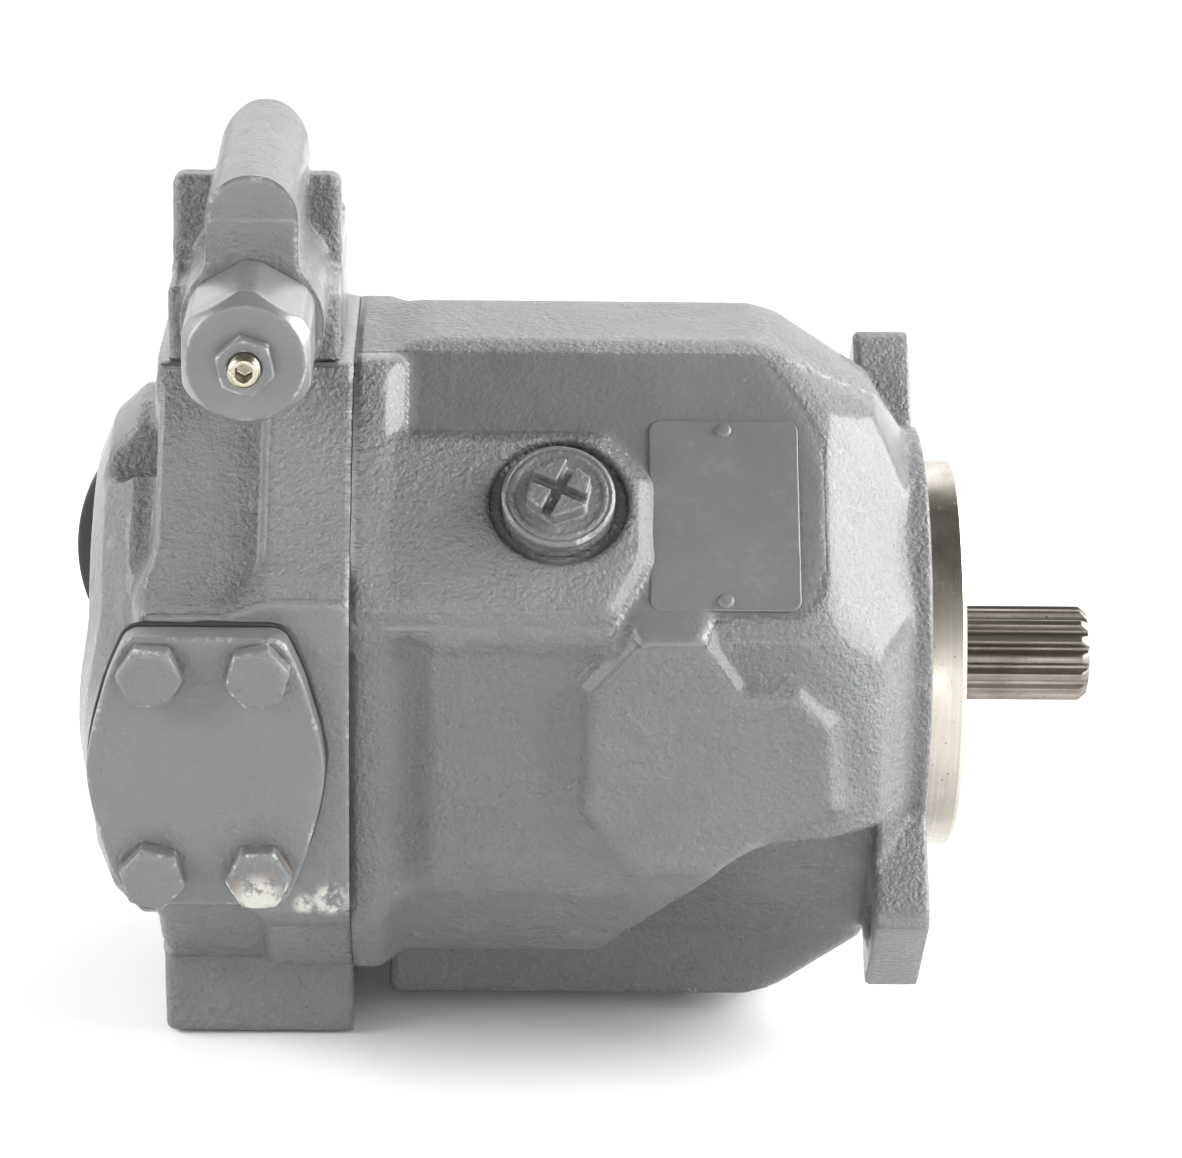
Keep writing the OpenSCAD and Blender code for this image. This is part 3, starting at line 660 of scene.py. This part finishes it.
def housing():
    b = Block((-147, -87, -89), (1, 87, 92), 1.2)
    around = np.hypot(b.y, b.z)
    near_up, far_up = slopes(b)
    case = housing_case(b)
    shape = meet(case, polygon(b.x, around, NECK), 4)
    shape = housing_pads(b, shape)
    shape = union(shape, housing_strip(b, case), 1.5)
    valley = np.hypot(b.x + 133.5, np.abs(b.y) - PORT_FACE) - 6
    shape = cut(shape, meet(valley, slab(b.z, -62, 30), 4), 3)
    lean = 0.97
    facet = (near_up - CASE_SLOPE + (b.x + 28.6) * lean) / math.hypot(1, lean)
    shape = meet(shape, facet, 1.2)
    shape = meet(shape, b.x + 4)
    core = union(around - 64, np.abs(b.y) - FOOT_HALF, 16)
    undercut = meet(polygon(b.x, b.z, UNDERCUT), -core, 4)
    undercut = meet(undercut, slab(b.x, -90, -14))
    shape = cut(shape, undercut, 1.4) + cast_grain(b, SEED)
    shape = union(shape, lug_plate(b), 2.5)
    shape = cut(shape, meet(undercut, slab(b.x, -80, -14)), 0.8)
    shape = meet(shape, slab(b.x, CASE_BACK, 0))
    shape = open_chamber(b, open_holes(b, shape))
    for s in (-1, 1):
        pin = np.hypot(b.x - PLATE_X, far_up - PLATE_S - s * PIN_REACH) - 1.25
        shape = cut(shape, meet(pin, 76 - near_up))
    worked = meet(near_up - CASE_SLOPE, far_up - 44)
    worked = np.minimum(np.abs(worked), np.abs(b.x - CASE_BACK))
    return solid("housing_casting", b, shape, worked, merge=0.001)


def pilot():
    return turned("housing_pilot", PILOT)


def plate_outside(b):
    """Port plate before its holes: strip, back, foot, seat for the controller, dome and port bosses."""
    strip = meet(b.z - SEAT_Z, np.abs(b.y) - STRIP_SIDE, 1.5)
    strip = meet(strip, FOOT_STEP - b.z, 2.5)
    strip = sloped(b, strip, STRIP_SLOPE, 3)
    strip = meet(strip, slab(b.x, -169, CASE_BACK + 9), 2.5)
    back = meet(b.z - SEAT_Z, np.abs(b.y) - 74, 3)
    back = meet(back, FOOT_STEP - 1 - b.z, 3)
    back = sloped(b, back, STRIP_SLOPE - 3.5, 6)
    back = meet(back, slab(b.x, REAR_BLOCK, -150), 3)
    foot = cuboid(b, (REAR_BLOCK, CASE_BACK + 9), (-45.5, 45.5), (PLATE_BOTTOM, 0), 2.5)
    shape = union(strip, union(back, foot, 1.5), 1.8)
    seat = cuboid(b, (REAR_BLOCK - 0.5, -150), (-35, 35), (60, SEAT_Z), 1.5)
    shape = union(shape, seat, 3)
    dome = polygon(b.x, np.hypot(b.y, b.z), REAR_DOME)
    shape = union(shape, dome - 1.5, 3)
    for s in (-1, 1):
        boss = rod(b.x - PORT_X, b.z, s * b.y, 29.5, 0, PORT_FACE, 1.5)
        depth = (-PORT_FACE, 0) if s < 0 else (0, PORT_FACE)
        block = cuboid(b, (-199, -147.6), depth, (-39, 39), 3.5)
        shape = union(shape, union(boss, block, 4), 12)
    return shape


def port_plate():
    b = Block((-216, -86, -93), (-147, 86, 90), 0.85)
    shape = plate_outside(b) + cast_grain(b, SEED + 2)
    shape = meet(shape, b.z - SEAT_Z, 0.5)
    shape = meet(shape, b.x - CASE_BACK, 0.4)
    shape = meet(shape, np.abs(b.y) - PORT_FACE, 0.6)
    shape = meet(shape, PLATE_BOTTOM - b.z, 0.6)
    for radius, low, high in ((23.5, -166, -140), (15, -176, -165)):
        shape = cut(shape, rod(b.y, b.z, b.x, radius, low, high))
    for s in (-1, 1):
        shape = cut(shape, rod(b.y - s * 33.5, b.z, b.x, 7.5, PORT_X - 4, -140))
    for dx, dz in corners(BOLT_DX, BOLT_DZ):
        shape = cut(shape, rod(b.x - PORT_X - dx, b.z - dz, -b.y, 5, 67, 90))
    for dx, dz in corners(CAP_DX, CAP_DZ):
        shape = cut(shape, rod(b.x - PORT_X - dx, b.z - dz, b.y, 4, 67, 90))
    for dx, dy in corners(CONTROL_DX, CONTROL_DY):
        shape = cut(shape, rod(b.x - CONTROL_X - dx, b.y - dy, b.z, 2.5, 74, 95))
    for side, radius in ((-b.y, 12.7), (b.y, 19)):
        shape = cut(shape, rod(b.x - PORT_X, b.z, side, radius, 25, 105))
    for dx in (-PASSAGE_DX, PASSAGE_DX):
        shape = cut(shape, rod(b.x - CONTROL_X - dx, b.y, b.z, 2, 62, 95))
        shape = cut(shape, rod(b.x - CONTROL_X - dx, b.y, b.z, 4, 86.6, 95))
    shape = cut(shape, rod(b.y, b.z - 62, b.x, 2, CONTROL_X, -140))
    for y, z in HOUSING_BOLTS:
        shape = cut(shape, rod(b.y - y, b.z - z, b.x, 5.1, -230, -140))
        shape = cut(shape, rod(b.y - y, b.z - z, b.x, 8.6, -230, -177), 2.2)
    worked = np.minimum(np.abs(np.abs(b.y) - PORT_FACE), np.abs(b.x - CASE_BACK))
    worked = np.minimum(worked, np.abs(b.z - SEAT_Z))
    return solid("port_plate_casting", b, shape, worked, merge=0.001)


def controller_body():
    b = Block((-195, -61, 87), (-149, 33, 143), 0.5)
    u = b.x - CONTROL_X
    width = (CONTROL_X - 22.5, CONTROL_X + 20.5)
    base = cuboid(b, width, (-34, 30), (80, 107), 2)
    block = cuboid(b, width, (-12, 32), (80, 114), 2)
    ears = cuboid(b, width, (-12, -2), (108.5, 130.5), 3)
    block = union(block, ears, 0.8)
    ridge = rod(u, b.z - RIDGE_Z, b.y, 11.7, -60, 27, 1.0)
    wall = meet(slab(u, -11.7, 11.7), slab(b.y, -60, 27), 1.0)
    wall = meet(wall, slab(b.z, SPOOL_Z, RIDGE_Z))
    ridge = union(ridge, wall, 1)
    ridge = meet(ridge, np.hypot(u, np.maximum(b.y - 15.3, 0)) - 11.7, 1)
    barrel = rod(u, b.z - SPOOL_Z, b.y, 17.8, -60, 32, 1.2)
    barrel = cut(barrel, meet(b.z - SEAT_Z, -36 - b.y))
    shape = union(base, block, 1.5)
    shape = union(shape, ridge, 2)
    shape = union(shape, barrel, 2.5)
    crest = np.hypot(u, b.z - RIDGE_Z - 11.1) - 1.0
    shape = union(shape, meet(crest, slab(b.y, -57, 8), 0.5), 1.2)
    shape = shape + cast_grain(b, SEED + 4, broad=(7, 0.12), fine=(2.6, 0.05))
    shape = meet(shape, b.z - 142.3, 0.5)
    shape = meet(shape, CONTROL_END - b.y, 0.5)
    shape = meet(shape, np.where(b.y > -36, SEAT_Z - b.z, -9.0))
    shape = cut(shape, rod(u, b.z - SPOOL_Z, b.y, 5, -62, 60))
    shape = cut(shape, rod(u, b.z - SPOOL_Z, b.y, 12, -62, -46))
    shape = cut(shape, rod(u, b.z - SPOOL_Z, b.y, 7, 20, 60))
    for dx, dy in corners(CONTROL_DX, CONTROL_DY):
        shape = cut(shape, rod(u - dx, b.y - dy, b.z, 2.6, 80, 101))
        shape = cut(shape, rod(u - dx, b.y - dy, b.z, 4.4, 99, 104 if dy < 0 else 140), 0.4)
    for dx in (-PASSAGE_DX, PASSAGE_DX):
        shape = cut(shape, rod(u - dx, b.y, b.z, 2, 80, 101))
    worked = np.minimum(np.abs(b.y - CONTROL_END), np.abs(b.z - SEAT_Z))
    return solid("controller_casting", b, shape, worked, merge=0.001)


# ---- smaller pieces ----------------------------------------------------------
def spring_cap():
    b = Block((-20, -20, -13), (20, 20, 35), 0.35)
    hexa = hexagon(b.x, b.y, 31, 0, 0.6)
    around = np.hypot(b.x, b.y)
    profile = [(-1, 0.4), (16.4, 0.4), (16.8, 0.9), (16.8, 29.5), (14.6, 33.6), (14.1, 34), (-1, 34)]
    shape = meet(hexa, polygon(around, b.z, profile), 0.3)
    shape = union(shape, rod(b.x, b.y, b.z, 11.97, -12, 1))
    shape = cut(shape, rod(b.x, b.y, b.z, 9, -13, 30))
    shape = cut(shape, rod(b.x, b.y, b.z, 4.05, -20, 50), 0.3)
    place = facing_near(CONTROL_X, CONTROL_END, SPOOL_Z)
    return solid("spring_cap_body", b, shape, b.z * 0, place, merge=0.01, reach=0.7)


def lock_nut():
    b = Block((-8, -8, 0), (8, 8, 5), 0.2)
    around = np.hypot(b.x, b.y)
    cone = polygon(around, b.z, [(-1, 0), (6.9, 0), (7.5, 0.6), (7.5, 4.3), (6.6, 5), (-1, 5)])
    shape = meet(hexagon(b.x, b.y, 13, 12, 0.3), cone, 0.2)
    shape = cut(shape, around - 4.05, 0.3)
    place = facing_near(CONTROL_X, NUT_SEAT, SPOOL_Z)
    return solid("lock_nut_body", b, shape, b.z * 0, place, merge=0.01, reach=0.5)


def set_screw():
    b = Block((-8, -8, 81), (8, 8, 104), 0.2)
    around = np.hypot(b.x, b.y)
    height, pitch = 0.12, 1.25
    turns = (b.z + np.arctan2(b.y, b.x) / (2 * math.pi)) / pitch
    thread = height * np.cos(turns * 2 * math.pi) * (b.z > 84.5)
    shaft = polygon(around, b.z, [(-1, 84), (3.85, 84), (3.85, 102.5), (3.1, 103.4), (-1, 103.4)])
    shape = union(shaft + thread, rod(b.x, b.y, b.z, 7, 82, 84.5, 0.2))
    shape = cut(shape, meet(hexagon(b.x, b.y, 4, 0, 0.1), 97.5 - b.z), 0.2)
    shape = cut(shape, (around - (b.z - 103.5 + 2.3)) / ROOT2)
    place = facing_near(CONTROL_X, 0, SPOOL_Z)
    return solid("set_screw_body", b, shape, b.z * 0, place, merge=0.005, reach=0.5)


COVER = [(-19, -35), (19, -35), (22.8, -29), (29.8, -3.5), (29.8, 3.5), (22.8, 29), (19, 35), (-19, 35),
         (-22.8, 29), (-29.8, 3.5), (-29.8, -3.5), (-22.8, -29)]


def on_port(height):
    """Places a piece drawn along +Z on the pressure port's face, height mm above it."""
    return facing_near(PORT_X, -(PORT_FACE + height), 0)


def pressure_cover():
    b = Block((-31, -36, 0), (31, 36, COVER_TALL), 0.4)
    outline = round_outline(b.x, b.y, COVER, 2.5)
    shape = meet(outline, slab(b.z, 0, COVER_TALL), 1.1) + waves(b, 12, 0.08, SEED + 6)
    shape = meet(shape, slab(b.z, 0, COVER_TALL))
    for dx, dy in corners(BOLT_DX, BOLT_DZ):
        shape = cut(shape, np.hypot(b.x - dx, b.y - dy) - COVER_HOLE)
    return solid("pressure_cover_plate", b, shape, None, on_port(1), merge=0.01, reach=0.8)


def pressure_gasket():
    b = Block((-34, -39, 0), (34, 39, 1), 0.25)
    outline = round_outline(b.x, b.y, COVER, 2.5) - 0.8
    shape = meet(outline, slab(b.z, 0, 1), 0.2) + waves(b, 6, 0.4, SEED + 7)
    shape = meet(shape, slab(b.z, 0, 1))
    shape = cut(shape, np.hypot(b.x, b.y) - 17)
    for dx, dy in corners(BOLT_DX, BOLT_DZ):
        shape = cut(shape, np.hypot(b.x - dx, b.y - dy) - COVER_HOLE)
    return solid("pressure_gasket_sheet", b, shape, None, on_port(0), merge=0.01, reach=0.8)


def cover_bolts():
    profile = [(-1, 0), (9.0, 0), (9.0, 4.6), (7.2, 5.9), (6.6, 6.15), (5.2, HEAD_TALL), (-1, HEAD_TALL)]
    made = []
    for s, t in corners(1, 1):
        b = Block((-10, -10, -26), (10, 10, HEAD_TALL), 0.3)
        head = polygon(np.hypot(b.x, b.y), b.z, profile)
        shape = meet(hexagon(b.x, b.y, 14.5, 30 + s * 8 + t * 5, 0.5), head, 0.4)
        shape = union(shape, rod(b.x, b.y, b.z, 4.97, -26, 1))
        shape = shape + waves(b, 3, 0.05, SEED + 20 + s + 2 * t)
        shape = meet(shape, b.z - HEAD_TALL)
        place = on_port(COVER_TALL + 1) @ Matrix.Translation((s * BOLT_DX * MM, t * BOLT_DZ * MM, 0))
        made.append(solid(f"cover_bolt_{len(made) + 1}", b, shape, None, place, merge=0.01, reach=0.7))
    return made


def drain_plugs():
    profile = [(-1, 1), (14.2, 1), (14.2, 3.4), (13.4, 4.2), (11.2, 4.2), (10.9, 3.9), (-1, 3.9)]
    made = []
    for side in (0, 1):
        b = Block((-15, -15, -12), (15, 15, 8.5), 0.3)
        around = np.hypot(b.x, b.y)
        disc = polygon(around, b.z, profile)
        head = meet(hexagon(b.x, b.y, 14.6, 50, 0.5), slab(b.z, 3, 8.4), 0.5)
        a = math.radians(65)
        for u in (b.x * math.cos(a) + b.y * math.sin(a), b.y * math.cos(a) - b.x * math.sin(a)):
            head = cut(head, meet(np.abs(u) - 1.35, 4.6 - b.z), 0.3)
        rim = np.abs(around - 12.7) - 0.35
        disc = cut(disc, meet(rim, 3.9 - b.z), 0.1)
        shape = union(disc, head, 0.5)
        shape = union(shape, rod(b.x, b.y, b.z, 10.48, -12, 2))
        turn = Matrix.Rotation(math.radians(-45 + 180 * side), 4, "X")
        place = turn @ facing_near(DRAIN_X, 1 - DRAIN_FACE, 0)
        made.append(solid(f"drain_plug_{side + 1}", b, shape, None, place, merge=0.01, reach=0.7))
    return made


def nameplate():
    b = Block((-19.5, -27.5, -0.2), (19.5, 27.5, 0.6), 0.2)
    outline = meet(np.abs(b.x) - 18.7, np.abs(b.y) - 26.7, 3)
    shape = meet(outline, slab(b.z, 0, 0.6), 0.2) + waves(b, 14, 0.03, SEED + 9)
    shape = meet(shape, slab(b.z, 0, 0.6))
    for s in (-1, 1):
        shape = cut(shape, np.hypot(b.x, b.y - s * PIN_REACH) - 1.25)
    turn = Matrix.Rotation(math.radians(-45), 4, "X")
    place = turn @ facing_near(PLATE_X, -CASE_SLOPE, PLATE_S)
    return solid("nameplate_sheet", b, shape, b.z * 0, place, merge=0.02, reach=0.4)


def suction_cap():
    b = Block((-47, -49.5, -10), (47, 49.5, 8), 0.6)
    around = np.hypot(b.x, b.y)
    profile = [(-1, 0), (45.6, 0), (46, 0.5), (46, 2.6), (45.4, 3.4), (38.6, 7.6), (38, 8), (-1, 8)]
    shape = polygon(around, b.z, profile)
    for dx, dy in corners(CAP_DX, CAP_DZ):
        shape = union(shape, rod(b.x - dx, b.y - dy, b.z, 14, 0, 4, 0.8), 1.5)
        shape = union(shape, rod(b.x - dx, b.y - dy, b.z, 3.97, -10, 1))
    shape = cut(shape, meet(np.abs(around - 30) - 3, 6.6 - b.z), 0.5)
    shape = union(shape, rod(b.x, b.y, b.z, 18.98, -8, 1))
    turn = Matrix.Rotation(math.radians(-90), 4, "X")
    place = Matrix.Translation((PORT_X * MM, PORT_FACE * MM, 0)) @ turn
    return solid("suction_cap_shell", b, shape, None, place, merge=0.01, reach=1.2)


def spline_end():
    b = Block((-162, -15, -15), (46, 15, 15), 0.35)
    around = np.hypot(b.y, b.z)
    angle = np.arctan2(b.z, b.y)
    tooth = 2 * math.pi / 15
    lean = 0.42
    local = np.abs((angle + tooth / 2) % tooth - tooth / 2) * np.maximum(around, 4)
    flank = (local - 1.45 + (around - 11.4) * lean) / math.hypot(1, lean)
    teeth = meet(flank, around - 12.55, 0.25)
    bar = union(around - 10.7, teeth, 0.35)
    profile = [(9.8, -1), (9.8, 10.9), (12.2, 12.7), (43.5, 12.7), (45.7, 10.9), (45.9, 10.6), (45.9, -1)]
    bar = meet(bar, polygon(b.x, around, profile), 0.2)
    bar = union(bar, rod(b.y, b.z, b.x, 10.9, 3, 10.2))
    for radius, low, high in SHAFT_STEPS:
        bar = union(bar, rod(b.y, b.z, b.x, radius, low, high, 0.5))
    bar = cut(bar, meet(around - 3 + (46 - b.x) * 0.6, around - 3.2), 0.1)
    return solid("shaft_spline", b, bar, None, None, merge=0.01, reach=0.8)


PIECES = [
    (housing, "housing_body", ("housing",), CAST_PAINT, "paint"),
    (pilot, "housing_body", ("housing",), ZINC, "paint"),
    (port_plate, "housing_body", ("port_plate",), CAST_PAINT, "paint"),
    (controller_body, "housing_body", ("controller_body",), CAST_PAINT, "paint"),
    (spring_cap, "housing_body", ("spring_cap",), SMOOTH_PAINT, "paint"),
    (lock_nut, "housing_body", ("lock_nut",), SMOOTH_PAINT, "paint"),
    (set_screw, "adjuster", ("set_screw",), SCREW_STEEL, "steel"),
    (pressure_cover, "housing_body", ("pressure_cover",), SMOOTH_PAINT, "paint"),
    (pressure_gasket, "housing_body", ("pressure_gasket",), RUBBER, "rubber"),
    (cover_bolts, "housing_body", ("pressure_cover_bolts",), BOLT_PAINT, "paint"),
    (drain_plugs, "housing_body", ("drain_plugs",), SMOOTH_PAINT, "paint"),
    (nameplate, "housing_body", ("nameplate",), PLATE_PAINT, "plate_paint"),
    (suction_cap, "housing_body", ("suction_cap",), PLASTIC, "plastic"),
    (spline_end, "rotor", ("drive_shaft",), SHAFT_STEEL, "steel"),
]
for build, body, nodes, material, slot in PIECES:
    made = build()
    for piece in made if isinstance(made, list) else [made]:
        piece.data.materials.append(material)
        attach(piece, body)
        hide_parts(*nodes)

SLOT_MATERIALS = {"paint": SMOOTH_PAINT, "plate_paint": PLATE_PAINT, "steel": PLAIN_STEEL, "bronze": BRONZE,
                  "rubber": RUBBER, "plastic": PLASTIC}
slots = {row["node"]: row["material_slot"] for row in frame["record"]["subparts"]}
for name, part in frame["nodes"].items():
    for place in part.material_slots:
        place.material = PLATE_PAINT if name == "nameplate_pins" else SLOT_MATERIALS[slots[name]]

# ---- studio -------------------------------------------------------------------
FLOOR_Z = cad_low[2] - 0.0005
FLOOR_HALF = 6


def floor_sheet(tone, rough):
    """White sheet under the pump, very slightly uneven in tone."""
    mesh = bpy.data.meshes.new("floor")
    ring = ((-1, -1), (1, -1), (1, 1), (-1, 1))
    mesh.from_pydata([(x * FLOOR_HALF, y * FLOOR_HALF, FLOOR_Z) for x, y in ring], [], [(0, 1, 2, 3)])
    made = bpy.data.objects.new("floor", mesh)
    bpy.context.scene.collection.objects.link(made)
    s = Shader("floor")
    tint = s.mix(s.ramp(s.noise(3, 2), 0.3, 0.7), grey(tone), grey(tone * 0.985))
    mesh.materials.append(s.set(Base_Color=tint, Roughness=rough))


def area_light(name, place, aim, size, power):
    """Rectangular light at a place in metres, aimed at a point. power is in watts."""
    data = bpy.data.lights.new(name, "AREA")
    data.shape = "RECTANGLE"
    data.size, data.size_y = size
    data.energy = power
    made = bpy.data.objects.new(name, data)
    made.location = place
    made.rotation_euler = (Vector(aim) - Vector(place)).to_track_quat("-Z", "Y").to_euler()
    bpy.context.scene.collection.objects.link(made)


def studio_world(overhead, front, back):
    """Soft surroundings: dim overhead, brighter round the horizon and brightest behind the pump."""
    world = bpy.data.worlds.new("studio")
    world.use_nodes = True
    tree = world.node_tree

    def fade(value, low, high, to_low, to_high):
        made = tree.nodes.new("ShaderNodeMapRange")
        made.interpolation_type = "SMOOTHSTEP"
        tree.links.new(value, made.inputs["Value"])
        for key, number in (("From Min", low), ("From Max", high)):
            made.inputs[key].default_value = number
        for key, number in (("To Min", to_low), ("To Max", to_high)):
            if isinstance(number, bpy.types.NodeSocket):
                tree.links.new(number, made.inputs[key])
            else:
                made.inputs[key].default_value = number
        return made.outputs[0]

    where = tree.nodes.new("ShaderNodeTexCoord")
    split = tree.nodes.new("ShaderNodeSeparateXYZ")
    tree.links.new(where.outputs["Generated"], split.inputs[0])
    ring = fade(split.outputs["Y"], 0.0, 0.8, front, back)
    sky = tree.nodes["Background"]
    sky.inputs["Color"].default_value = (1.0, 0.995, 0.985, 1)
    tree.links.new(fade(split.outputs["Z"], 0.25, 0.8, ring, overhead), sky.inputs["Strength"])
    return world


floor_sheet(0.84, 0.6)
bpy.context.scene.world = studio_world(overhead=0.12, front=1.15, back=1.6)
area_light("right_box", (1.35, 0.1, 0.65), (-0.03, 0, 0.02), (1.6, 0.9), 78)
area_light("left_box", (-1.4, -0.2, 0.65), (-0.12, 0, 0.02), (1.3, 0.8), 30)
area_light("low_box", (-0.1, -1.7, 0.1), (-0.1, 0, -0.02), (2.0, 0.16), 9)
area_light("back_box", (-0.1, 1.5, 1.0), (-0.1, 0, 0.0), (2.2, 0.8), 9)

CAMERA_PLACE = (-0.1145, -1.1981, 0.4161)
FOCAL_LENGTH = 145.86
PITCH, YAW, ROLL = math.radians(18.30), math.radians(1.38), math.radians(0.88)
camera = bpy.data.cameras.new("camera")
camera.sensor_width = 36
camera.lens = FOCAL_LENGTH
camera.clip_start = 0.05
eye = bpy.data.objects.new("camera", camera)
bpy.context.scene.collection.objects.link(eye)
forward = Vector((math.sin(YAW) * math.cos(PITCH), math.cos(YAW) * math.cos(PITCH), -math.sin(PITCH)))
level = Vector((math.cos(YAW), -math.sin(YAW), 0))
above = level.cross(forward)
right = math.cos(ROLL) * level + math.sin(ROLL) * above
top = math.cos(ROLL) * above - math.sin(ROLL) * level
aim = Matrix((right, top, -forward)).transposed().to_4x4()
eye.matrix_world = Matrix.Translation(CAMERA_PLACE) @ aim
bpy.context.scene.camera = eye
bpy.context.scene.view_settings.view_transform = "Standard"
